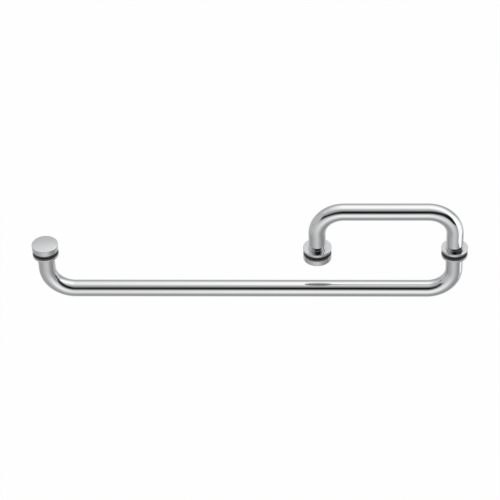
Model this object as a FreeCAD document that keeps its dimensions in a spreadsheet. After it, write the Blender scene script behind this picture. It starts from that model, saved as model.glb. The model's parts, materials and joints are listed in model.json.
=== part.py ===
"""Shower door handle: a towel bar and a pull on the two sides of a glass door.

Both are U-bent tubes. The pull's right foot and the towel bar's right foot share one stud through
the glass; each tube's other foot is drawn up by a stud from a round cap on the opposite side.
Every foot stands on a washer and a gasket, and the gaskets face each other across the glass gap.

Frame, in millimetres: z = 0 is the middle of the glass gap, +Z points out on the pull's side,
+X runs along the towel bar to the shared stud, and the origin is midway between the towel bar's feet.
"""
import FreeCAD, Part
import math
import os

import Sketcher

# Driving dimensions
SIZES = {
    "towel_bar_centres": 457.2,
    "pull_centres": 152.4,
    "projection": 63.5,
    "tube_diameter": 19.05,
    "tube_wall": 1.2,
    "bend_radius": 30.0,
    "bar_disc_diameter": 29.5,
    "pull_disc_diameter": 31.75,
    "glass_gap": 2.1,
    "gasket_inset": 0.3,
    "gasket_thickness": 1.9,
    "washer_thickness": 2.6,
    "washer_edge_radius": 0.6,
    "cap_thickness": 6.6,
    "cap_crown": 0.6,
    "cap_edge_radius": 1.4,
    "edge_break": 0.2,
    "collar_rim": 0.9,
    "collar_height": 2.0,
    "collar_bevel": 0.4,
    "plug_bend_gap": 3.0,
    "plug_fit_clearance": 0.05,
    "plug_chamfer": 0.8,
    "stud_diameter": 6.0,
    "stud_chamfer": 0.6,
    "stud_reach": 18.0,
    "stud_hole_clearance": 0.25,
    "stud_end_clearance": 0.2,
    "thread_clearance": 0.05,
    "cap_hole_depth": 4.8,
    "sleeve_diameter": 12.0,
    "sleeve_clearance": 0.1,
    "set_screw_diameter": 5.0,
    "set_screw_chamfer": 0.6,
    "set_screw_recess": 0.4,
    "set_screw_clearance": 0.05,
    "hex_key": 2.5,
    "hex_depth": 2.5,
}

doc = FreeCAD.newDocument("shower_door_handle")
sheet = doc.addObject("Spreadsheet::Sheet", "sizes")
for row, (alias, value) in enumerate(SIZES.items(), start=1):
    sheet.set(f"A{row}", alias)
    sheet.set(f"B{row}", str(value))
    sheet.setAlias(f"B{row}", alias)
doc.recompute()

# Heights on one side of the glass, measured from the middle of the gap
GASKET_FACE = "sizes.glass_gap / 2"
WASHER_FACE = f"({GASKET_FACE} + sizes.gasket_thickness)"
FOOT_FACE = f"({WASHER_FACE} + sizes.washer_thickness)"
TUBE_END = f"({FOOT_FACE} + sizes.collar_height)"
TUBE_AXIS = f"({GASKET_FACE} + sizes.projection - sizes.tube_diameter / 2)"
BEND_START = f"({TUBE_AXIS} - sizes.bend_radius)"
PLUG_LENGTH = f"({BEND_START} - sizes.plug_bend_gap - {TUBE_END})"
SET_SCREW_HEIGHT = f"({TUBE_END} + {PLUG_LENGTH} / 2)"

# Radii that pieces share
TUBE_RADIUS = "sizes.tube_diameter / 2"
TUBE_BORE = f"({TUBE_RADIUS} - sizes.tube_wall)"
COLLAR_RADIUS = f"({TUBE_RADIUS} + sizes.collar_rim)"
BAR_DISC_RIM = "sizes.bar_disc_diameter / 2"
PULL_DISC_RIM = "sizes.pull_disc_diameter / 2"
PLUG_RADIUS = f"({TUBE_BORE} - sizes.plug_fit_clearance)"
STUD_RADIUS = "sizes.stud_diameter / 2"
THREAD_BORE = f"({STUD_RADIUS} + sizes.thread_clearance)"
STUD_HOLE = f"({STUD_RADIUS} + sizes.stud_hole_clearance)"
SLEEVE_RADIUS = "sizes.sleeve_diameter / 2"
SET_SCREW_RADIUS = "sizes.set_screw_diameter / 2"
SET_SCREW_HOLE = f"({SET_SCREW_RADIUS} + sizes.set_screw_clearance)"

# Places of the three glass holes along X
BAR_END_X = "-sizes.towel_bar_centres / 2"
SHARED_X = "sizes.towel_bar_centres / 2"
PULL_END_X = f"({SHARED_X} - sizes.pull_centres)"
PULL_MIDDLE_X = f"({SHARED_X} - sizes.pull_centres / 2)"
ON_AXIS = "0"

# The ways a piece's own X, Y and Z axes point: out of the glass on either side, or to the back
AXIS_X = FreeCAD.Vector(1, 0, 0)
AXIS_Y = FreeCAD.Vector(0, 1, 0)
AXIS_Z = FreeCAD.Vector(0, 0, 1)
PULL_SIDE = FreeCAD.Rotation(AXIS_X, AXIS_Y, AXIS_Z)
BAR_SIDE = FreeCAD.Rotation(AXIS_X, -AXIS_Y, -AXIS_Z)
TO_THE_BACK = FreeCAD.Rotation(AXIS_X, -AXIS_Z, AXIS_Y)

SAME_PLACE = 1e-4
FULL_TURN = 360
QUARTER = math.pi / 2
START, END, CENTRE = 1, 2, 3
HEX_SIDES = 6

bodies = []


def evaluate(expression):
    """The present value of an expression of the sheet's sizes."""
    return float(sheet.evalExpression(expression))


def new_body(name):
    body = doc.addObject("PartDesign::Body", name)
    body.Label = name
    bodies.append(body)
    return body


def new_sketch(body, name, plane, height=None):
    """A sketch on one of the body's own origin planes, raised along its normal by an expression."""
    sketch = body.newObject("Sketcher::SketchObject", f"{body.Name}_{name}")
    support = next(f for f in body.Origin.OriginFeatures if f.Role == plane)
    sketch.AttachmentSupport = [(support, "")]
    sketch.MapMode = "FlatFace"
    if height is not None:
        sketch.setExpression("AttachmentOffset.Base.z", height)
    return sketch


def drive(sketch, *constraint, to):
    """Add a dimension to a sketch and bind it to an expression of the sheet's sizes."""
    index = sketch.addConstraint(Sketcher.Constraint(*constraint, evaluate(to)))
    sketch.setExpression(f"Constraints[{index}]", to)


def drive_point(sketch, edge, end, across, up):
    """Fix one point of a sketch edge at two expressions; a zero puts it on that axis."""
    if across == ON_AXIS:
        sketch.addConstraint(Sketcher.Constraint("PointOnObject", edge, end, -2))
    else:
        drive(sketch, "DistanceX", -1, 1, edge, end, to=across)
    if up == ON_AXIS:
        sketch.addConstraint(Sketcher.Constraint("PointOnObject", edge, end, -1))
    else:
        drive(sketch, "DistanceY", -1, 1, edge, end, to=up)


def place(body, across, height, facing):
    """Put a body at a station along X, at a height that counts out of the glass on its own side."""
    body.Placement = FreeCAD.Placement(FreeCAD.Vector(), facing)
    body.setExpression("Placement.Base.x", across)
    body.setExpression("Placement.Base.z", f"-({height})" if facing == BAR_SIDE else height)


def crown_arc(rim, top):
    """The sketch arc that rises from a rim to a point on the axis, about a centre on the axis."""
    rise = top.y - rim.y
    radius = (rim.x**2 + rise**2) / (2 * rise)
    centre = FreeCAD.Vector(0, top.y - radius, 0)
    rim_angle = math.atan2(rim.y - centre.y, rim.x)
    return Part.ArcOfCircle(Part.Circle(centre, AXIS_Z, radius), rim_angle, QUARTER)


def turned(name, *profile, crowned=None):
    """A turned piece: a closed profile of (radius, height) corners revolved about its own Z axis.

    The edge from the corner numbered crowned to the next one is an arc; the others are straight.
    """
    body = new_body(name)
    sketch = new_sketch(body, "profile", "XZ_Plane")
    corners = [FreeCAD.Vector(evaluate(radius), evaluate(height), 0) for radius, height in profile]
    for edge, (start, end) in enumerate(zip(corners, corners[1:] + corners[:1])):
        sketch.addGeometry(crown_arc(start, end) if edge == crowned else Part.LineSegment(start, end))
    if crowned is not None:
        sketch.addConstraint(Sketcher.Constraint("PointOnObject", crowned, CENTRE, -2))
    for edge, (radius, height) in enumerate(profile):
        before = (edge - 1) % len(profile)
        sketch.addConstraint(Sketcher.Constraint("Coincident", before, END, edge, START))
        drive_point(sketch, edge, START, radius, height)
    revolution = body.newObject("PartDesign::Revolution", f"{name}_turning")
    revolution.Profile = sketch
    revolution.ReferenceAxis = (sketch, ["V_Axis"])
    revolution.Angle = FULL_TURN
    doc.recompute()
    return body


def rims_at(shape, corners):
    """Names of the circular edges that pass through the given (radius, height) corners."""
    wanted = [(evaluate(radius), evaluate(height)) for radius, height in corners]
    names = []
    for number, edge in enumerate(shape.Edges, start=1):
        if edge.Degenerated or not isinstance(edge.Curve, Part.Circle):  # a crown's top is a bare point
            continue
        rim = (edge.Curve.Radius, edge.Curve.Center.z)
        if any(math.dist(rim, corner) < SAME_PLACE for corner in wanted):
            names.append(f"Edge{number}")
    return names


def fillet(body, size, *corners):
    base = body.Tip
    feature = body.newObject("PartDesign::Fillet", f"{body.Name}_rounding_{size}")
    feature.Base = (base, rims_at(base.Shape, corners))
    feature.setExpression("Radius", f"sizes.{size}")
    doc.recompute()


def chamfer(body, size, *corners):
    base = body.Tip
    feature = body.newObject("PartDesign::Chamfer", f"{body.Name}_bevel_{size}")
    feature.Base = (base, rims_at(base.Shape, corners))
    feature.setExpression("Size", f"sizes.{size}")
    doc.recompute()


def cut(body, name, sketch, depth=None):
    """Pocket a sketch into the body, behind the sketch, right through where no depth is given."""
    whole = body.Tip.Shape.Volume
    pocket = body.newObject("PartDesign::Pocket", f"{body.Name}_{name}")
    pocket.Profile = sketch
    if depth is None:
        pocket.Type = "ThroughAll"
    else:
        pocket.setExpression("Length", depth)
    doc.recompute()
    if pocket.Shape.Volume >= whole:
        raise RuntimeError(f"{body.Label}: {name} cut nothing away")


def drill_set_screw_hole(body, across, height):
    """The cross hole for the set screw, from the foot's axis out through the +Y wall."""
    sketch = new_sketch(body, "set_screw_circle", "XZ_Plane")
    centre = FreeCAD.Vector(evaluate(across), evaluate(height), 0)
    sketch.addGeometry(Part.Circle(centre, AXIS_Z, evaluate(SET_SCREW_HOLE)))
    drive_point(sketch, 0, CENTRE, across, height)
    drive(sketch, "Radius", 0, to=SET_SCREW_HOLE)
    cut(body, "set_screw_hole", sketch)


def bent_tube(name, middle, centres, side):
    """A ring swept up one leg, round a bend, along the grip, round a bend and down the other leg."""
    body = new_body(name)
    left, right = f"-sizes.{centres} / 2", f"sizes.{centres} / 2"
    half, bend = evaluate(right), evaluate("sizes.bend_radius")
    foot, bend_start, axis = evaluate(TUBE_END), evaluate(BEND_START), evaluate(TUBE_AXIS)
    at = FreeCAD.Vector

    path = new_sketch(body, "path", "XZ_Plane")
    left_bend = Part.Circle(at(bend - half, bend_start), AXIS_Z, bend)
    right_bend = Part.Circle(at(half - bend, bend_start), AXIS_Z, bend)
    left_leg = path.addGeometry(Part.LineSegment(at(-half, foot), at(-half, bend_start)))
    left_arc = path.addGeometry(Part.ArcOfCircle(left_bend, QUARTER, 2 * QUARTER))
    grip = path.addGeometry(Part.LineSegment(at(bend - half, axis), at(half - bend, axis)))
    right_arc = path.addGeometry(Part.ArcOfCircle(right_bend, 0, QUARTER))
    right_leg = path.addGeometry(Part.LineSegment(at(half, bend_start), at(half, foot)))
    path.addConstraint(Sketcher.Constraint("Tangent", left_leg, END, left_arc, END))
    path.addConstraint(Sketcher.Constraint("Tangent", left_arc, START, grip, START))
    path.addConstraint(Sketcher.Constraint("Tangent", grip, END, right_arc, END))
    path.addConstraint(Sketcher.Constraint("Tangent", right_arc, START, right_leg, START))
    path.addConstraint(Sketcher.Constraint("Equal", left_arc, right_arc))
    path.addConstraint(Sketcher.Constraint("Vertical", left_leg))
    drive_point(path, left_leg, START, left, TUBE_END)
    drive_point(path, right_leg, END, right, TUBE_END)
    drive(path, "Radius", left_arc, to="sizes.bend_radius")
    drive(path, "DistanceY", -1, 1, grip, START, to=TUBE_AXIS)

    ring = new_sketch(body, "ring", "XY_Plane", TUBE_END)
    for circle, radius in enumerate((TUBE_RADIUS, TUBE_BORE)):
        ring.addGeometry(Part.Circle(at(-half, 0), AXIS_Z, evaluate(radius)))
        drive_point(ring, circle, CENTRE, left, ON_AXIS)
        drive(ring, "Radius", circle, to=radius)

    pipe = body.newObject("PartDesign::AdditivePipe", f"{name}_bending")
    pipe.Profile = ring
    pipe.Spine = (path, [f"Edge{number}" for number in range(1, path.GeometryCount + 1)])
    doc.recompute()
    place(body, middle, ON_AXIS, side)
    return body


def end_plug(name, across, side):
    """The plug pressed into a tube's foot: a spigot inside and a thin collar under the tube's end."""
    top = f"({PLUG_LENGTH} + sizes.collar_height)"
    body = turned(
        name,
        (THREAD_BORE, ON_AXIS),
        (COLLAR_RADIUS, ON_AXIS),
        (COLLAR_RADIUS, "sizes.collar_height"),
        (PLUG_RADIUS, "sizes.collar_height"),
        (PLUG_RADIUS, top),
        (THREAD_BORE, top),
    )
    chamfer(body, "collar_bevel", (COLLAR_RADIUS, "sizes.collar_height"))
    chamfer(body, "plug_chamfer", (PLUG_RADIUS, top))
    place(body, across, FOOT_FACE, side)
    return body


def washer(name, across, side, rim):
    """The chrome washer under a foot, rounded on the side away from the glass."""
    height = "sizes.washer_thickness"
    body = turned(name, (STUD_HOLE, ON_AXIS), (rim, ON_AXIS), (rim, height), (STUD_HOLE, height))
    fillet(body, "washer_edge_radius", (rim, height))
    chamfer(body, "edge_break", (rim, ON_AXIS))
    place(body, across, WASHER_FACE, side)


def gasket(name, across, side, disc_rim):
    """The die-cut soft ring against the glass, with the sleeve through its hole."""
    rim = f"({disc_rim} - sizes.gasket_inset)"
    hole = f"({SLEEVE_RADIUS} + sizes.sleeve_clearance)"
    height = "sizes.gasket_thickness"
    body = turned(name, (hole, ON_AXIS), (rim, ON_AXIS), (rim, height), (hole, height))
    place(body, across, GASKET_FACE, side)


def cap(name, across, side, rim):
    """The round cap that draws up a lone foot: a crowned face and a blind tapped hole for its stud."""
    height = "sizes.cap_thickness"
    crowned_face = 2
    body = turned(
        name,
        (THREAD_BORE, ON_AXIS),
        (rim, ON_AXIS),
        (rim, height),
        (ON_AXIS, f"({height} + sizes.cap_crown)"),
        (ON_AXIS, "sizes.cap_hole_depth"),
        (THREAD_BORE, "sizes.cap_hole_depth"),
        crowned=crowned_face,
    )
    fillet(body, "cap_edge_radius", (rim, height))
    chamfer(body, "edge_break", (rim, ON_AXIS))
    place(body, across, WASHER_FACE, side)


def stud(name, across, length, foot_side):
    """A headless stud that starts inside a foot and runs through the glass to the other side."""
    body = turned(
        name,
        (ON_AXIS, ON_AXIS),
        (STUD_RADIUS, ON_AXIS),
        (STUD_RADIUS, length),
        (ON_AXIS, length),
    )
    chamfer(body, "stud_chamfer", (STUD_RADIUS, ON_AXIS), (STUD_RADIUS, length))
    place(body, across, "-sizes.stud_reach", BAR_SIDE if foot_side == PULL_SIDE else PULL_SIDE)


def sleeve(name, across):
    """The plastic sleeve that keeps a stud off the glass, loose between the washers."""
    length = f"(2 * {WASHER_FACE} - 2 * sizes.sleeve_clearance)"
    body = turned(
        name,
        (STUD_HOLE, ON_AXIS),
        (SLEEVE_RADIUS, ON_AXIS),
        (SLEEVE_RADIUS, length),
        (STUD_HOLE, length),
    )
    place(body, across, f"(-{length} / 2)", PULL_SIDE)


def set_screw(name):
    """The hexagon socket screw that locks the pull's shared foot on the stud, hidden behind the leg."""
    length = f"({TUBE_RADIUS} - sizes.set_screw_recess - {STUD_RADIUS} - sizes.set_screw_clearance)"
    body = turned(
        name,
        (ON_AXIS, ON_AXIS),
        (SET_SCREW_RADIUS, ON_AXIS),
        (SET_SCREW_RADIUS, length),
        (ON_AXIS, length),
    )
    chamfer(body, "set_screw_chamfer", (SET_SCREW_RADIUS, ON_AXIS))
    chamfer(body, "edge_break", (SET_SCREW_RADIUS, length))
    socket = new_sketch(body, "socket_hexagon", "XY_Plane", length)
    corner_radius = "(sizes.hex_key / sqrt(3))"
    reach = evaluate(corner_radius)
    angles = [side * 2 * math.pi / HEX_SIDES for side in range(HEX_SIDES)]
    corners = [FreeCAD.Vector(reach * math.cos(a), reach * math.sin(a), 0) for a in angles]
    for start, end in zip(corners, corners[1:] + corners[:1]):
        socket.addGeometry(Part.LineSegment(start, end))
    round_guide = socket.addGeometry(Part.Circle(FreeCAD.Vector(), AXIS_Z, reach), True)
    for side in range(HEX_SIDES):
        before = (side - 1) % HEX_SIDES
        socket.addConstraint(Sketcher.Constraint("Coincident", before, END, side, START))
        socket.addConstraint(Sketcher.Constraint("PointOnObject", side, START, round_guide))
    for side in range(1, HEX_SIDES):
        socket.addConstraint(Sketcher.Constraint("Equal", 0, side))
    socket.addConstraint(Sketcher.Constraint("Coincident", round_guide, CENTRE, -1, START))
    socket.addConstraint(Sketcher.Constraint("PointOnObject", 0, START, -1))
    drive(socket, "Radius", round_guide, to=corner_radius)
    cut(body, "socket", socket, "sizes.hex_depth")
    place(body, SHARED_X, SET_SCREW_HEIGHT, TO_THE_BACK)
    body.setExpression("Placement.Base.y", f"{STUD_RADIUS} + sizes.set_screw_clearance")


# The two bent tubes, with the set screw's hole at the back of the pull's shared foot
bent_tube("towel_bar_tube", ON_AXIS, "towel_bar_centres", BAR_SIDE)
pull_tube = bent_tube("pull_tube", PULL_MIDDLE_X, "pull_centres", PULL_SIDE)
drill_set_screw_hole(pull_tube, "sizes.pull_centres / 2", SET_SCREW_HEIGHT)

# The four feet
FEET = {
    "bar_end": (BAR_END_X, BAR_SIDE, BAR_DISC_RIM),
    "bar_shared": (SHARED_X, BAR_SIDE, BAR_DISC_RIM),
    "pull_end": (PULL_END_X, PULL_SIDE, PULL_DISC_RIM),
    "pull_shared": (SHARED_X, PULL_SIDE, BAR_DISC_RIM),
}
for foot, (across, side, rim) in FEET.items():
    plug = end_plug(f"{foot}_plug", across, side)
    washer(f"{foot}_washer", across, side, rim)
    gasket(f"{foot}_gasket", across, side, rim)
    if foot == "pull_shared":
        drill_set_screw_hole(plug, ON_AXIS, f"({SET_SCREW_HEIGHT} - {FOOT_FACE})")

# The two caps, each across the glass from a lone foot
CAP_STUD_LENGTH = f"(sizes.stud_reach + {WASHER_FACE} + sizes.cap_hole_depth - sizes.stud_end_clearance)"
for foot, cap_side in (("bar_end", PULL_SIDE), ("pull_end", BAR_SIDE)):
    across, foot_side, rim = FEET[foot]
    cap(f"{foot}_cap", across, cap_side, rim)
    gasket(f"{foot}_cap_gasket", across, cap_side, rim)
    stud(f"{foot}_cap_stud", across, CAP_STUD_LENGTH, foot_side)
    sleeve(f"{foot}_sleeve", across)

# The shared station
stud("shared_stud", SHARED_X, "(2 * sizes.stud_reach)", BAR_SIDE)
sleeve("shared_sleeve", SHARED_X)
set_screw("pull_set_screw")

# Check every object, then write each piece
doc.recompute()
for thing in doc.Objects:
    if {"Invalid", "Error"} & set(thing.State):
        raise RuntimeError(f"{thing.Label} failed: {thing.State}")
for body in bodies:
    if body.Shape.isNull() or not body.Shape.isValid() or len(body.Shape.Solids) != 1:
        raise RuntimeError(f"{body.Label} is not one valid solid")

os.makedirs("parts", exist_ok=True)
for body in bodies:
    body.Shape.exportStep(f"parts/{body.Label}.step")
    print(f"{body.Label}: {body.Shape.Volume:.1f} mm3")
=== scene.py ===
# %% [markdown]
# # A chrome towel bar and pull for a glass shower door
#
# The handle is two bent chrome tubes on the two sides of a glass door: a long towel bar and a short pull.
# Their right feet share one bolt through the glass, and each left foot is held by a round cap on the
# other side. The CAD model holds every piece at its true size. This lesson rebuilds the pieces that show
# as smooth meshes, gives each one a finish, and photographs them in a white light tent.

import json
from math import pi, radians, tau

import bmesh
import bpy
from mathutils import Matrix, Vector

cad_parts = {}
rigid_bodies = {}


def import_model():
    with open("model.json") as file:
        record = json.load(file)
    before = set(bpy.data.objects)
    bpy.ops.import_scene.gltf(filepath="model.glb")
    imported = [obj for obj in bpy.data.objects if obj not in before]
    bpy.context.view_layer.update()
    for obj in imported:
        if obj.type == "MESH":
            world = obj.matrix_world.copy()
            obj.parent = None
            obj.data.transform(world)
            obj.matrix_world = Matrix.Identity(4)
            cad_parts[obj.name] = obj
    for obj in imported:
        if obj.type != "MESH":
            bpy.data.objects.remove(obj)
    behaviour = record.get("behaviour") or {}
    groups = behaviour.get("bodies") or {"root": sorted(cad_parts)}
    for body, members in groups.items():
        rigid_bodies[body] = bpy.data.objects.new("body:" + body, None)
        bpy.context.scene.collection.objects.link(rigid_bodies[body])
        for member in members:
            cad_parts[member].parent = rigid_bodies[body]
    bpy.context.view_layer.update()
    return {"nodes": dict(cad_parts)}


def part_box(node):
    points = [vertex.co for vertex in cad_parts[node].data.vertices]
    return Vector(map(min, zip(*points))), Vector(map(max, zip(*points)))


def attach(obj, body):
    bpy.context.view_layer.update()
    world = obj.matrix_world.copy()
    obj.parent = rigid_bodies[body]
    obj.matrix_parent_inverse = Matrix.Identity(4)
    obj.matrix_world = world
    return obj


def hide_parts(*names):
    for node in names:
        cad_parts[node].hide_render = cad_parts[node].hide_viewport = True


for leftover in list(bpy.data.objects):
    bpy.data.objects.remove(leftover)
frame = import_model()

# %% [markdown]
# ## The places that everything shares
#
# Blender works in metres and the handle was drawn in millimetres, so each value is written in millimetres
# and multiplied by MM. The glass would stand in the plane z = 0. The pull is on its +Z side and the towel
# bar on its -Z side, so heights are counted outwards from the glass, and a piece for the bar's side is
# turned over at the end.

# %% Places of the bolts and heights above the glass
MM = 0.001
BAR_END_X, PULL_END_X, SHARED_X = -228.6 * MM, 76.2 * MM, 228.6 * MM
GASKET_FACE = 1.05 * MM
WASHER_FACE = 2.95 * MM
FOOT_FACE = 5.55 * MM
TUBE_FOOT = 7.55 * MM
BEND_START = 25.025 * MM
SCREW_HEIGHT = 14.7875 * MM
PULL_SIDE, BAR_SIDE = "pull side", "bar side"
ORIGIN = (0, 0, 0)
AXIS_Y, AXIS_Z = (0, 1, 0), (0, 0, 1)
print("bolts at", BAR_END_X, PULL_END_X, SHARED_X)

# %% [markdown]
# ## Fine grain and polishing marks as node groups
#
# No surface is perfectly even. Rubber and moulded plastic have a fine grain, and buffed metal keeps faint
# marks and patches of haze from the wheel. Two materials need each effect, so each is a node group that
# is built once. A group puts out only masks that change over the surface; the shader itself stays in the
# material.

# %% Helpers for node trees
def add_node(tree, kind, **settings):
    """Add a node and set its plain settings."""
    node = tree.nodes.new(kind)
    for name, value in settings.items():
        setattr(node, name, value)
    return node


def new_group(name, inputs, outputs):
    """An empty shader node group with named float or vector sockets, and its two ends."""
    group = bpy.data.node_groups.new(name, "ShaderNodeTree")
    for socket, kind in inputs.items():
        group.interface.new_socket(socket, in_out="INPUT", socket_type=kind)
    for socket in outputs:
        group.interface.new_socket(socket, in_out="OUTPUT", socket_type="NodeSocketFloat")
    return group, add_node(group, "NodeGroupInput"), add_node(group, "NodeGroupOutput")


def noise(tree, vector, scale, detail):
    """A noise texture read at a vector socket, with its scale from another socket."""
    texture = add_node(tree, "ShaderNodeTexNoise")
    texture.inputs["Detail"].default_value = detail
    tree.links.new(vector, texture.inputs["Vector"])
    tree.links.new(scale, texture.inputs["Scale"])
    return texture.outputs["Fac"]


# %% The group for grain
FLOAT, VECTOR = "NodeSocketFloat", "NodeSocketVector"
PATCH_SHARE = 0.02
FINE_DETAIL, PLAIN_DETAIL = 3, 2
fine_grain, ins, outs = new_group("fine_grain", {"Vector": VECTOR, "Scale": FLOAT}, ["Grain", "Patches"])
vector, scale = ins.outputs["Vector"], ins.outputs["Scale"]
coarse = add_node(fine_grain, "ShaderNodeMath", operation="MULTIPLY")
coarse.inputs[1].default_value = PATCH_SHARE
fine_grain.links.new(scale, coarse.inputs[0])
grain = noise(fine_grain, vector, scale, FINE_DETAIL)
patches = noise(fine_grain, vector, coarse.outputs[0], PLAIN_DETAIL)
fine_grain.links.new(grain, outs.inputs["Grain"])
fine_grain.links.new(patches, outs.inputs["Patches"])
print("made the node group", fine_grain.name)

# %% The group for polishing marks
ALONG_THE_WHEEL = (0.03, 1, 1)
polish_marks, ins, outs = new_group(
    "polish_marks", {"Vector": VECTOR, "Mark Scale": FLOAT, "Haze Scale": FLOAT}, ["Marks", "Haze"]
)
vector = ins.outputs["Vector"]
stretch = add_node(polish_marks, "ShaderNodeVectorMath", operation="MULTIPLY")
stretch.inputs[1].default_value = ALONG_THE_WHEEL
polish_marks.links.new(vector, stretch.inputs[0])
marks = noise(polish_marks, stretch.outputs[0], ins.outputs["Mark Scale"], PLAIN_DETAIL)
haze = noise(polish_marks, vector, ins.outputs["Haze Scale"], FINE_DETAIL)
polish_marks.links.new(marks, outs.inputs["Marks"])
polish_marks.links.new(haze, outs.inputs["Haze"])
print("made the node group", polish_marks.name)

# %% [markdown]
# ## Chrome, rubber, steel and nylon
#
# Chrome plate is a mirror: what it shows is the room, so its own settings are few. It is fully metallic,
# a light neutral grey, and almost smooth, with a little haze in the roughness and marks too shallow to
# blur the picture. The gaskets are black rubber with a soft shine. The bolts inside are plain steel and
# the sleeves round them are milky nylon. All of them read Object coordinates, so the patterns stay in
# place on pieces that sit at the origin.

# %% A helper that builds one finish from a group's masks
def new_finish(name, group, scales, tones, roughness, bump, metallic=0.0):
    """A material whose tone and roughness follow a group's broad mask, and its bump the fine one."""
    fine, broad = [socket.name for socket in group.interface.items_tree if socket.in_out == "OUTPUT"]
    material = bpy.data.materials.new(name)
    material.use_nodes = True
    tree = material.node_tree
    shader = tree.nodes["Principled BSDF"]
    shader.inputs["Metallic"].default_value = metallic
    place = add_node(tree, "ShaderNodeTexCoord")
    masks = add_node(tree, "ShaderNodeGroup", node_tree=group)
    tree.links.new(place.outputs["Object"], masks.inputs["Vector"])
    for socket, scale in scales.items():
        masks.inputs[socket].default_value = scale

    tone = add_node(tree, "ShaderNodeMix", data_type="RGBA")
    tone.inputs["A"].default_value, tone.inputs["B"].default_value = ((*c, 1) for c in tones)
    tree.links.new(masks.outputs[broad], tone.inputs["Factor"])
    tree.links.new(tone.outputs["Result"], shader.inputs["Base Color"])

    gloss = add_node(tree, "ShaderNodeMapRange")
    gloss.inputs["To Min"].default_value, gloss.inputs["To Max"].default_value = roughness
    tree.links.new(masks.outputs[broad], gloss.inputs["Value"])
    tree.links.new(gloss.outputs["Result"], shader.inputs["Roughness"])

    relief = add_node(tree, "ShaderNodeBump")
    relief.inputs["Strength"].default_value, relief.inputs["Distance"].default_value = bump
    tree.links.new(masks.outputs[fine], relief.inputs["Height"])
    tree.links.new(relief.outputs["Normal"], shader.inputs["Normal"])
    return material


# %% The four finishes
chrome = new_finish(
    "polished_chrome", polish_marks, {"Mark Scale": 2500, "Haze Scale": 60},
    tones=((0.615, 0.62, 0.63), (0.645, 0.65, 0.655)), roughness=(0.01, 0.04), bump=(0.03, 0.004 * MM),
    metallic=1,
)
rubber = new_finish(
    "black_rubber", fine_grain, {"Scale": 3500},
    tones=((0.04, 0.04, 0.04), (0.07, 0.07, 0.07)), roughness=(0.15, 0.25), bump=(0.2, 0.03 * MM),
)
steel = new_finish(
    "bolt_steel", polish_marks, {"Mark Scale": 1500, "Haze Scale": 150},
    tones=((0.42, 0.42, 0.43), (0.56, 0.56, 0.57)), roughness=(0.22, 0.42), bump=(0.15, 0.01 * MM),
    metallic=1,
)
nylon = new_finish(
    "milky_nylon", fine_grain, {"Scale": 1800},
    tones=((0.66, 0.66, 0.63), (0.78, 0.78, 0.75)), roughness=(0.3, 0.5), bump=(0.15, 0.03 * MM),
)
print("finishes:", [m.name for m in (chrome, rubber, steel, nylon)])

# %% [markdown]
# ## Turning a mesh into a piece of the handle
#
# Every new mesh ends the same way: doubles are merged, the faces are turned outwards, and edges sharper
# than 30 degrees stay crisp while the rest is shaded smooth. Then the piece takes the place of its CAD
# node, rides on the CAD body, and is measured against the node that it stands for.

# %% Helpers that finish a piece
WELD = 0.001 * MM
CRISP_ANGLE = radians(30)


def close_up(shape):
    """Merge the doubles that spinning leaves and turn all faces outwards."""
    bmesh.ops.remove_doubles(shape, verts=shape.verts, dist=WELD)
    bmesh.ops.recalc_face_normals(shape, faces=shape.faces)


def seat(shape, across, side):
    """Turn a piece over to its side of the glass and move it to its bolt."""
    if side == BAR_SIDE:
        bmesh.ops.rotate(shape, verts=shape.verts, cent=ORIGIN, matrix=Matrix.Rotation(pi, 3, "X"))
    bmesh.ops.translate(shape, verts=shape.verts, vec=(across, 0, 0))


def shade(mesh):
    """Shade smoothly, apart from edges sharper than the crisp angle."""
    mesh.shade_smooth()
    mesh.set_sharp_from_angle(angle=CRISP_ANGLE)


def stand_in(shape, name, node, finish):
    """Make the object, let it stand for a CAD node, and print how far its box is from the node's."""
    mesh = bpy.data.meshes.new(name)
    shape.to_mesh(mesh)
    shape.free()
    shade(mesh)
    mesh.materials.append(finish)
    piece = bpy.data.objects.new(name, mesh)
    bpy.context.scene.collection.objects.link(piece)
    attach(piece, "root")
    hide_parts(node)
    off = 0
    for along, low, high in zip(zip(*piece.bound_box), *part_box(node)):
        off = max(off, abs(min(along) - low), abs(max(along) - high))
    print(f"{name}: {len(mesh.polygons)} faces, within {off / MM:.3f} mm of {node}")
    return piece


# %% [markdown]
# ## The two bent tubes
#
# A tube bender feeds straight tube, swings it round a former and feeds again. The mesh is made the same
# way: a circle is extruded up the leg, spun a quarter turn about the bend's centre, extruded along the
# grip, spun again and extruded down. A curve with a bevel would be quicker, but its rings bunch up in the
# bends. Each straight run has a ring just inside its ends, which keeps the mirror image on the run from
# picking up the curve of the bend.

# %% Sizes of the tubes and the moves of the bender
TUBE_RADIUS = 9.525 * MM
TUBE_WALL = 1.2 * MM
BEND_RADIUS = 30 * MM
LEG = BEND_START - TUBE_FOOT
RING_SEGMENTS = 128
BEND_STEPS = 48
RUN_END = 0.5 * MM


def push(shape, ring, step):
    """Extrude an open ring of edges by one step and return the new ring."""
    grown = bmesh.ops.extrude_edge_only(shape, edges=ring)["geom"]
    tips = {g for g in grown if isinstance(g, bmesh.types.BMVert)}
    bmesh.ops.translate(shape, verts=list(tips), vec=step)
    return [g for g in grown if isinstance(g, bmesh.types.BMEdge) and tips.issuperset(g.verts)]


def feed(shape, ring, way, length):
    """Extrude a straight run, with a ring just inside each end."""
    for part in (RUN_END, length - 2 * RUN_END, RUN_END):
        ring = push(shape, ring, Vector(way) * part)
    return ring


def swing(shape, ring, across):
    """Spin a ring a quarter turn about a bend's centre."""
    spun = bmesh.ops.spin(
        shape, geom=ring, cent=(across, 0, BEND_START), axis=AXIS_Y, angle=pi / 2, steps=BEND_STEPS
    )
    return [g for g in spun["geom_last"] if isinstance(g, bmesh.types.BMEdge)]


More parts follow.
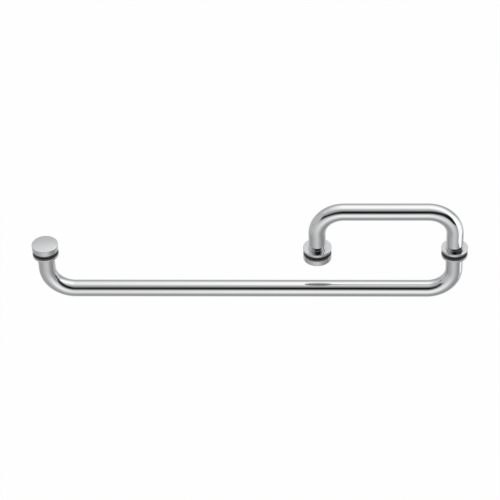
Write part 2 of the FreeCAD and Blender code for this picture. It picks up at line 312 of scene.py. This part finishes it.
def bent_tube(left, right):
    """A hollow tube that stands on two feet on the pull's side of the glass."""
    shape = bmesh.new()
    bmesh.ops.create_circle(
        shape, cap_ends=False, radius=TUBE_RADIUS, segments=RING_SEGMENTS,
        matrix=Matrix.Translation((left, 0, TUBE_FOOT)),
    )
    ring = feed(shape, shape.edges[:], (0, 0, 1), LEG)
    ring = swing(shape, ring, left + BEND_RADIUS)
    ring = feed(shape, ring, (1, 0, 0), right - left - 2 * BEND_RADIUS)
    ring = swing(shape, ring, right - BEND_RADIUS)
    feed(shape, ring, (0, 0, -1), LEG)
    close_up(shape)
    bmesh.ops.solidify(shape, geom=shape.faces[:], thickness=TUBE_WALL)
    return shape


# %% Bend the towel bar and the pull
bar = bent_tube(BAR_END_X, SHARED_X)
seat(bar, 0, BAR_SIDE)
stand_in(bar, "polished_towel_bar_tube", "towel_bar_tube", chrome)
pull = bent_tube(PULL_END_X, SHARED_X)
pull_tube = stand_in(pull, "polished_pull_tube", "pull_tube", chrome)

# %% [markdown]
# ## Turned pieces
#
# Plugs, washers, gaskets and caps all come off a lathe or a punch, so one helper makes them: it draws
# half of the outline, rounds its corners with a vertex bevel and spins it a full turn. Rounding the
# outline before the spin is easier than finding the rims afterwards. Long straight runs get a point near
# each end, so that the flat faces stay flat in a mirror finish.

# %% The lathe
TURN_STEPS = 128
ROUND_STEPS = 6
FLAT_END = 0.05 * MM
LONG_RUN = 0.5 * MM


def keep_flats_flat(shape):
    """Split each long run of an outline close to both of its ends."""
    for run in [e for e in shape.edges if e.calc_length() > LONG_RUN]:
        for end in run.verts[:]:
            bmesh.utils.edge_split(run, end, FLAT_END / run.calc_length())


def draw_outline(outline, rounded):
    """A closed outline of (radius, height) corners, some of them rounded, by their number."""
    shape = bmesh.new()
    corners = [shape.verts.new((radius, 0, height)) for radius, height in outline]
    for start, end in zip(corners, corners[1:] + corners[:1]):
        shape.edges.new((start, end))
    for number, size in rounded.items():
        bmesh.ops.bevel(
            shape, geom=[corners[number]], offset=size, offset_type="OFFSET", segments=ROUND_STEPS,
            profile=0.5, affect="VERTICES", material=-1,
        )
    return shape


def turn(shape):
    """Spin an outline a full turn about the Z axis."""
    keep_flats_flat(shape)
    bmesh.ops.spin(
        shape, geom=shape.verts[:] + shape.edges[:], cent=ORIGIN, axis=AXIS_Z, angle=tau, steps=TURN_STEPS,
        use_merge=True,
    )
    close_up(shape)
    return shape


# %% [markdown]
# ## Plugs and washers under the four feet
#
# Each tube is closed by a plug: a spigot up the bore and a thin collar that the tube's end stands on. The
# collar is the fine step that shows between tube and washer. The washer spreads the load on the glass; it
# is a flat disc, rounded on the outside and barely broken on the edge next to the gasket.

# %% Make the plugs and washers
BOLT_HOLE = 3.25 * MM
TAPPED_HOLE = 3.05 * MM
COLLAR_RADIUS = 10.425 * MM
COLLAR_ROUND = 0.12 * MM
SPIGOT_RADIUS = 8.275 * MM
SPIGOT_TOP = 22.025 * MM
SPIGOT_ROUND = 0.8 * MM
BAR_DISC, PULL_DISC = 14.75 * MM, 15.875 * MM
WASHER_ROUND = 0.6 * MM
EDGE_BREAK = 0.2 * MM
plug_outline = [
    (TAPPED_HOLE, FOOT_FACE), (COLLAR_RADIUS, FOOT_FACE), (COLLAR_RADIUS, TUBE_FOOT),
    (SPIGOT_RADIUS, TUBE_FOOT), (SPIGOT_RADIUS, SPIGOT_TOP), (TAPPED_HOLE, SPIGOT_TOP),
]
feet = {
    "bar_end": (BAR_END_X, BAR_SIDE, BAR_DISC), "bar_shared": (SHARED_X, BAR_SIDE, BAR_DISC),
    "pull_end": (PULL_END_X, PULL_SIDE, PULL_DISC), "pull_shared": (SHARED_X, PULL_SIDE, BAR_DISC),
}
plugs = {}
for foot, (across, side, rim) in feet.items():
    plug = turn(draw_outline(plug_outline, {2: COLLAR_ROUND, 4: SPIGOT_ROUND}))
    seat(plug, across, side)
    plugs[foot] = stand_in(plug, f"polished_{foot}_plug", f"{foot}_plug", chrome)
    washer_outline = [
        (BOLT_HOLE, WASHER_FACE), (rim, WASHER_FACE), (rim, FOOT_FACE), (BOLT_HOLE, FOOT_FACE),
    ]
    washer = turn(draw_outline(washer_outline, {1: EDGE_BREAK, 2: WASHER_ROUND}))
    seat(washer, across, side)
    stand_in(washer, f"polished_{foot}_washer", f"{foot}_washer", chrome)

# %% [markdown]
# ## The set screw's hole
#
# At the back of the pull's right foot a set screw goes through the tube into the plug. The hole is
# drilled with a Boolean modifier and kept as plain mesh: cutting faces by hand would leave a polygon, and
# the drill leaves a round hole in both walls at once.

# %% Drill the tube and its plug
SCREW_HOLE = 2.55 * MM
DRILL_REACH = 12 * MM
DRILL_SEGMENTS = 64
bit_shape = bmesh.new()
bmesh.ops.create_cone(
    bit_shape, cap_ends=True, segments=DRILL_SEGMENTS, radius1=SCREW_HOLE, radius2=SCREW_HOLE,
    depth=DRILL_REACH,
    matrix=Matrix.Translation((SHARED_X, DRILL_REACH / 2, SCREW_HEIGHT)) @ Matrix.Rotation(pi / 2, 4, "X"),
)
bit_mesh = bpy.data.meshes.new("drill_bit")
bit_shape.to_mesh(bit_mesh)
bit_shape.free()
drill_bit = bpy.data.objects.new("drill_bit", bit_mesh)
bpy.context.scene.collection.objects.link(drill_bit)
for piece in (pull_tube, plugs["pull_shared"]):
    cut = piece.modifiers.new("set_screw_hole", "BOOLEAN")
    cut.operation, cut.solver, cut.object = "DIFFERENCE", "EXACT", drill_bit
    drilled = piece.evaluated_get(bpy.context.evaluated_depsgraph_get())
    piece.data = bpy.data.meshes.new_from_object(drilled)
    piece.modifiers.clear()
    shade(piece.data)
    print(f"{piece.name} drilled: {len(piece.data.polygons)} faces")
bpy.data.objects.remove(drill_bit)

# %% [markdown]
# ## Gaskets
#
# A soft black ring lies between each washer or cap and the glass, so that metal never touches it. It is
# punched from sheet and a little smaller than the disc that it lies on. One loop over the feet and the
# caps makes all six rings, with edges only just softened, as rubber is after it has been pressed.

# %% Make the six gaskets
GASKET_INSET = 0.3 * MM
SLEEVE_HOLE = 6.1 * MM
GASKET_ROUND = 0.15 * MM
caps = {
    "bar_end_cap": (BAR_END_X, PULL_SIDE, BAR_DISC), "pull_end_cap": (PULL_END_X, BAR_SIDE, PULL_DISC),
}
for foot, (across, side, disc) in {**feet, **caps}.items():
    rim = disc - GASKET_INSET
    gasket_outline = [
        (SLEEVE_HOLE, GASKET_FACE), (rim, GASKET_FACE), (rim, WASHER_FACE), (SLEEVE_HOLE, WASHER_FACE),
    ]
    gasket = turn(draw_outline(gasket_outline, {1: GASKET_ROUND, 2: GASKET_ROUND}))
    seat(gasket, across, side)
    stand_in(gasket, f"rubber_{foot}_gasket", f"{foot}_gasket", rubber)

# %% [markdown]
# ## Caps
#
# A cap is a thick disc with a blind hole for its bolt. Its face is slightly crowned, which is what
# spreads the light over it in an even fade. The crown could be an arc in the outline, but then it would
# meet the rounded rim at an angle. So the cap is turned with a flat face in many rings, and the rings are
# lifted like a shallow bowl.

# %% Make the two caps
CAP_RIM = 9.55 * MM
CAP_ROUND = 0.6 * MM
CAP_CROWN = 0.6 * MM
CAP_HOLE_END = 7.75 * MM
CROWN_RINGS = 40
for name, (across, side, rim) in caps.items():
    cap_outline = [
        (TAPPED_HOLE, WASHER_FACE), (rim, WASHER_FACE), (rim, CAP_RIM), (0, CAP_RIM),
        (0, CAP_HOLE_END), (TAPPED_HOLE, CAP_HOLE_END),
    ]
    cap = draw_outline(cap_outline, {1: EDGE_BREAK, 2: CAP_ROUND})
    face = [run for run in cap.edges if all(end.co.z > CAP_RIM - WELD for end in run.verts)]
    bmesh.ops.subdivide_edges(cap, edges=face, cuts=CROWN_RINGS)
    turn(cap)
    for vert in cap.verts:
        if vert.co.z > CAP_RIM - CAP_ROUND:
            vert.co.z += CAP_CROWN * (1 - (vert.co.xy.length / rim) ** 2)
    seat(cap, across, side)
    stand_in(cap, f"polished_{name}", name, chrome)

# %% [markdown]
# ## Bolts, sleeves and the set screw
#
# These stay as CAD pieces. Their shapes are right and almost nothing of them shows: the sleeves in the
# narrow gap between the gaskets, and the end of the set screw at the back. They only need their finishes.

# %% Finish the CAD pieces that stay
for name, node in frame["nodes"].items():
    if name.endswith("_stud") or name == "pull_set_screw":
        node.data.materials[0] = steel
    elif name.endswith("_sleeve"):
        node.data.materials[0] = nylon
kept = [name for name, node in frame["nodes"].items() if not node.hide_render]
print("CAD pieces kept:", kept)

# %% [markdown]
# ## The floor and the room
#
# The handle hangs over a wide pale floor in a pale room. The camera, mirrors and glass see both as plain
# white, which the Light Path node picks out, and all other rays see a matte surface at an ordinary level,
# so the white never adds light to the handle. A small share of the matte floor stays in the picture and
# keeps the shadow.

# %% Helpers for the stage
def seen_directly(tree):
    """A socket that is 1 for rays from the camera, from mirrors and through glass."""
    path = add_node(tree, "ShaderNodeLightPath")
    total = path.outputs["Is Camera Ray"]
    for name in ("Is Glossy Ray", "Is Transmission Ray"):
        either = add_node(tree, "ShaderNodeMath", operation="MAXIMUM")
        tree.links.new(total, either.inputs[0])
        tree.links.new(path.outputs[name], either.inputs[1])
        total = either.outputs[0]
    return total


def stage_sheet(name, centre, width, height, turned=Matrix.Identity(4)):
    """A flat sheet that belongs to the stage, with its place in its mesh."""
    shape = bmesh.new()
    bmesh.ops.create_grid(shape, x_segments=1, y_segments=1, size=0.5)
    bmesh.ops.scale(shape, verts=shape.verts, vec=(width, height, 1))
    bmesh.ops.transform(shape, verts=shape.verts, matrix=Matrix.Translation(centre) @ turned)
    mesh = bpy.data.meshes.new(name)
    shape.to_mesh(mesh)
    shape.free()
    sheet = bpy.data.objects.new(name, mesh)
    bpy.context.scene.collection.objects.link(sheet)
    return sheet


# %% The floor
FLOOR_LEVEL = -1.75
FLOOR_WIDTH = 40
MATTE_TONE = 0.9
MATTE_ROUGHNESS = 0.9
WHITE_SHARE = 0.97
floor_paint = bpy.data.materials.new("pale_floor")
floor_paint.use_nodes = True
tree = floor_paint.node_tree
matte = tree.nodes["Principled BSDF"]
matte.inputs["Base Color"].default_value = (MATTE_TONE, MATTE_TONE, MATTE_TONE, 1)
matte.inputs["Roughness"].default_value = MATTE_ROUGHNESS
white = add_node(tree, "ShaderNodeEmission")
share = add_node(tree, "ShaderNodeMath", operation="MULTIPLY")
share.inputs[1].default_value = WHITE_SHARE
mix = add_node(tree, "ShaderNodeMixShader")
tree.links.new(seen_directly(tree), share.inputs[0])
tree.links.new(share.outputs[0], mix.inputs["Fac"])
tree.links.new(matte.outputs["BSDF"], mix.inputs[1])
tree.links.new(white.outputs["Emission"], mix.inputs[2])
tree.links.new(mix.outputs["Shader"], tree.nodes["Material Output"].inputs["Surface"])
floor = stage_sheet("floor", (0, 0, FLOOR_LEVEL), FLOOR_WIDTH, FLOOR_WIDTH)
floor.data.materials.append(floor_paint)
print("floor at", FLOOR_LEVEL, "m")

# %% The room and one soft lamp
ROOM_LEVEL = 0.7
LAMP_WIDTH = 1.6
LAMP_PLACE = (0, -0.3, 1.5)
LAMP_POWER = 14
room = bpy.data.worlds.new("pale_room")
bpy.context.scene.world = room
room.use_nodes = True
tree = room.node_tree
level = add_node(tree, "ShaderNodeMapRange")
level.inputs["To Min"].default_value, level.inputs["To Max"].default_value = ROOM_LEVEL, 1
tree.links.new(seen_directly(tree), level.inputs["Value"])
tree.nodes["Background"].inputs["Color"].default_value = (1, 1, 1, 1)
tree.links.new(level.outputs["Result"], tree.nodes["Background"].inputs["Strength"])

lamp = bpy.data.lights.new("soft_lamp", "AREA")
lamp.shape, lamp.size, lamp.energy = "DISK", LAMP_WIDTH, LAMP_POWER
soft_lamp = bpy.data.objects.new("soft_lamp", lamp)
soft_lamp.location = LAMP_PLACE
soft_lamp.visible_glossy = False
bpy.context.scene.collection.objects.link(soft_lamp)
print("room level", ROOM_LEVEL, "and lamp", LAMP_POWER, "W")

# %% [markdown]
# ## The light tent
#
# Chrome has no colour to light: it shows what stands round it. A photographer hangs a white tent round
# polished metal, keeps the front of the floor greyer, and leaves a dark slot where the camera looks in.
# That slot is the thin black line along each tube. Here the tent is a long tube of cloth round the handle
# that only mirrors see. Its tone goes by the angle round the X axis: 0 is the camera's horizon, 90
# straight up and 180 the back. It is brightest in the middle. To the left the tones even out into the
# grey cloth that closes that end. To the right the front grows dimmer, and the tent runs on to a dark
# doorway at its far end.

# %% Helpers for things that only mirrors see
def only_for_mirrors(thing):
    """Hide a stage piece from everything but reflections."""
    thing.visible_camera = thing.visible_diffuse = thing.visible_transmission = False
    thing.visible_volume_scatter = thing.visible_shadow = False


def glowing(name, level):
    """A material that glows evenly, and its glow node."""
    paint = bpy.data.materials.new(name)
    paint.use_nodes = True
    tree = paint.node_tree
    tree.nodes.remove(tree.nodes["Principled BSDF"])
    glow = add_node(tree, "ShaderNodeEmission")
    glow.inputs["Color"].default_value = (1, 1, 1, 1)
    glow.inputs["Strength"].default_value = level
    tree.links.new(glow.outputs["Emission"], tree.nodes["Material Output"].inputs["Surface"])
    return paint, glow


def tone_ramp(tree, share, tones):
    """A colour ramp over the full turn, from tones at angles in degrees."""
    node = add_node(tree, "ShaderNodeValToRGB")
    tree.links.new(share, node.inputs["Fac"])
    stops = node.color_ramp.elements
    stops.remove(stops[1])
    for number, (degrees, tone) in enumerate(tones):
        stop = stops[0] if number == 0 else stops.new(degrees / 360 + 0.5)
        stop.position, stop.color = degrees / 360 + 0.5, (tone, tone, tone, 1)
    return node.outputs["Color"]


# %% Paint the tent
LEFT_TONES = [
    (-180, 0.56), (-95, 0.40), (-60, 0.42), (-35, 0.60), (-15, 0.64), (0, 0.53), (12, 0.28), (19, 0.03),
    (32, 0.02), (40, 0.15), (49, 0.36), (65, 0.43), (85, 0.66), (105, 0.75), (125, 0.68), (145, 0.55),
    (170, 0.44),
]
MIDDLE_TONES = [
    (-180, 0.47), (-150, 0.66), (-110, 0.60), (-90, 0.37), (-72, 0.34), (-57, 0.36), (-38, 0.68),
    (-24, 1.03), (-5, 1.07), (6, 0.66), (15, 0.33), (20, 0.13), (25, 0.01), (45, 0.01), (50, 0.20),
    (56, 0.37), (64, 0.46), (75, 0.68), (90, 1.08), (105, 1.23), (118, 1.18), (130, 1.03), (137, 0.90),
    (143, 0.70), (156, 0.50), (175, 0.42),
]
RIGHT_TONES = [
    (-180, 0.45), (-110, 0.42), (-85, 0.33), (-60, 0.32), (-40, 0.36), (-25, 0.36), (-10, 0.38),
    (2, 0.38), (10, 0.28), (18, 0.06), (24, 0.01), (48, 0.03), (56, 0.30), (65, 0.60), (75, 0.95),
    (90, 1.3), (115, 1.26), (130, 0.95), (145, 0.65), (165, 0.44),
]
MIDDLE_X, LEFT_X = 0, -1.2
RIGHT_START, RIGHT_X = 0.2, 1.8
TENT_POWER = 1.26
cloth, glow = glowing("tent_cloth", TENT_POWER)
tree = cloth.node_tree
place = add_node(tree, "ShaderNodeTexCoord")
axes = add_node(tree, "ShaderNodeSeparateXYZ")
forward = add_node(tree, "ShaderNodeMath", operation="MULTIPLY")
forward.inputs[1].default_value = -1
angle = add_node(tree, "ShaderNodeMath", operation="ARCTAN2")
share = add_node(tree, "ShaderNodeMapRange")
share.inputs["From Min"].default_value, share.inputs["From Max"].default_value = -pi, pi
tree.links.new(place.outputs["Object"], axes.inputs[0])
tree.links.new(axes.outputs["Y"], forward.inputs[0])
tree.links.new(axes.outputs["Z"], angle.inputs[0])
tree.links.new(forward.outputs[0], angle.inputs[1])
tree.links.new(angle.outputs[0], share.inputs["Value"])
tone = tone_ramp(tree, share.outputs["Result"], MIDDLE_TONES)
for tones, start, end in ((LEFT_TONES, MIDDLE_X, LEFT_X), (RIGHT_TONES, RIGHT_START, RIGHT_X)):
    reach = add_node(tree, "ShaderNodeMapRange")
    reach.inputs["From Min"].default_value, reach.inputs["From Max"].default_value = start, end
    blend = add_node(tree, "ShaderNodeMix", data_type="RGBA")
    tree.links.new(axes.outputs["X"], reach.inputs["Value"])
    tree.links.new(reach.outputs["Result"], blend.inputs["Factor"])
    tree.links.new(tone, blend.inputs["A"])
    tree.links.new(tone_ramp(tree, share.outputs["Result"], tones), blend.inputs["B"])
    tone = blend.outputs["Result"]
tree.links.new(tone, glow.inputs["Color"])
print("tent tones:", [len(tones) for tones in (LEFT_TONES, MIDDLE_TONES, RIGHT_TONES)])

# %% Hang the tent and close its ends
TENT_RADIUS = 1.6
TENT_SEGMENTS = 96
TENT_LEFT, TENT_RIGHT = -2.3, 8.0
END_LEVEL, DOORWAY_LEVEL = 0.69, 0.02
tent_shape = bmesh.new()
bmesh.ops.create_circle(
    tent_shape, cap_ends=False, radius=TENT_RADIUS, segments=TENT_SEGMENTS,
    matrix=Matrix.Translation((TENT_LEFT, 0, 0)) @ Matrix.Rotation(pi / 2, 4, "Y"),
)
push(tent_shape, tent_shape.edges[:], (TENT_RIGHT - TENT_LEFT, 0, 0))
tent_mesh = bpy.data.meshes.new("light_tent")
tent_shape.to_mesh(tent_mesh)
tent_shape.free()
tent = bpy.data.objects.new("light_tent", tent_mesh)
bpy.context.scene.collection.objects.link(tent)
tent.data.materials.append(cloth)
only_for_mirrors(tent)

SIDEWAYS = Matrix.Rotation(pi / 2, 4, "Z") @ Matrix.Rotation(pi / 2, 4, "X")
ends = {"grey_cloth": (TENT_LEFT, END_LEVEL), "dark_doorway": (TENT_RIGHT, DOORWAY_LEVEL)}
for name, (across, level) in ends.items():
    end = stage_sheet(name, (across, 0, 0), 2 * TENT_RADIUS, 2 * TENT_RADIUS, SIDEWAYS)
    end.data.materials.append(glowing(name, level)[0])
    only_for_mirrors(end)
print("tent from", TENT_LEFT, "to", TENT_RIGHT, "m")

# %% [markdown]
# ## Cards at the right
#
# Two narrow strips of white card stand close to the right end and draw a bright stripe down each leg. The
# taller one leans, so that the stripe runs on over the pull's bend, and a small black flag beside it lets
# the pull's dark line taper. The strips leave a gap level with the washers, so that the rims stay grey,
# and a grey card behind the lower strip softens its edges. Further off, a black flag and a pale card draw
# the thin dark line and the light beside it on the bar's left bend. The places follow from the mirror: a
# leg sends the camera's view down and to the side, and a bend sends it level. A washer would pass the
# taller strip on to the foot above it and whiten the dark ring there, so the cards are dim for rays that
# have met two mirrors. The Light Path node's Ray Depth counts them.

# %% Stand the cards
SECOND_LEVEL = 0.08
ONE_MIRROR, TWO_MIRRORS = 1, 2
# centre, width, height, sideways lean and level of each card
cards = {
    "pull_strip": ((0.264, -0.0098, 0.0398), 0.036, 0.1105, 0.2, 1.5),
    "bar_strip": ((0.264, -0.0035, -0.043), 0.0115, 0.019, 0, 1.5),
    "grey_card": ((0.265, 0.003, -0.0545), 0.038, 0.042, 0, 0.76),
    "black_flag": ((1.5, 0.05, -0.48), 0.48, 1.15, -0.5, 0.02),
    "pale_card": ((1.51, 0.735, -0.36), 0.84, 1.5, -0.57, 0.88),
    "near_flag": ((0.265, -0.0515, 0.0575), 0.05, 0.049, -0.6, 0.02),
}
for name, (centre, width, height, lean, level) in cards.items():
    leaning = Matrix.Identity(4)
    leaning[0][1] = lean
    card = stage_sheet(name, centre, width, height, SIDEWAYS @ leaning)
    paint, glow = glowing(f"{name}_paint", level)
    tree = paint.node_tree
    path = add_node(tree, "ShaderNodeLightPath")
    fade = add_node(tree, "ShaderNodeMapRange")
    fade.inputs["From Min"].default_value, fade.inputs["From Max"].default_value = ONE_MIRROR, TWO_MIRRORS
    fade.inputs["To Min"].default_value, fade.inputs["To Max"].default_value = level, SECOND_LEVEL
    tree.links.new(path.outputs["Ray Depth"], fade.inputs["Value"])
    tree.links.new(fade.outputs["Result"], glow.inputs["Strength"])
    card.data.materials.append(paint)
    only_for_mirrors(card)
    print(f"{name}: {width} x {height} m at {centre}")

# %% [markdown]
# ## The camera
#
# The photograph was taken with a long lens from above the front, turned a little to the right and tilted.
# The lens follows from the picture's size: the image is 500 pixels wide, and the focal length in pixels
# was measured from how the tubes shrink with distance.

# %% Set up the camera
IMAGE_WIDTH = 500
FOCAL_PIXELS = 2275.2
SENSOR_WIDTH = 36
AIM = Vector((1.111 * MM, 0, 0.961 * MM))
DISTANCE = 2.5389
ELEVATION, AZIMUTH, TILT = radians(39.540), radians(3.711), radians(-2.346)
lens = bpy.data.cameras.new("camera")
lens.sensor_width = SENSOR_WIDTH
lens.lens = FOCAL_PIXELS * SENSOR_WIDTH / IMAGE_WIDTH
camera = bpy.data.objects.new("camera", lens)
bpy.context.scene.collection.objects.link(camera)
swivel = Matrix.Rotation(AZIMUTH, 4, "Z") @ Matrix.Rotation(pi / 2 - ELEVATION, 4, "X")
camera.matrix_world = (
    Matrix.Translation(AIM) @ swivel @ Matrix.Translation((0, 0, DISTANCE)) @ Matrix.Rotation(TILT, 4, "Z")
)
bpy.context.scene.camera = camera
bpy.context.scene.view_settings.view_transform = "Standard"
print(f"lens {lens.lens:.1f} mm, camera at", [round(v, 3) for v in camera.matrix_world.translation])
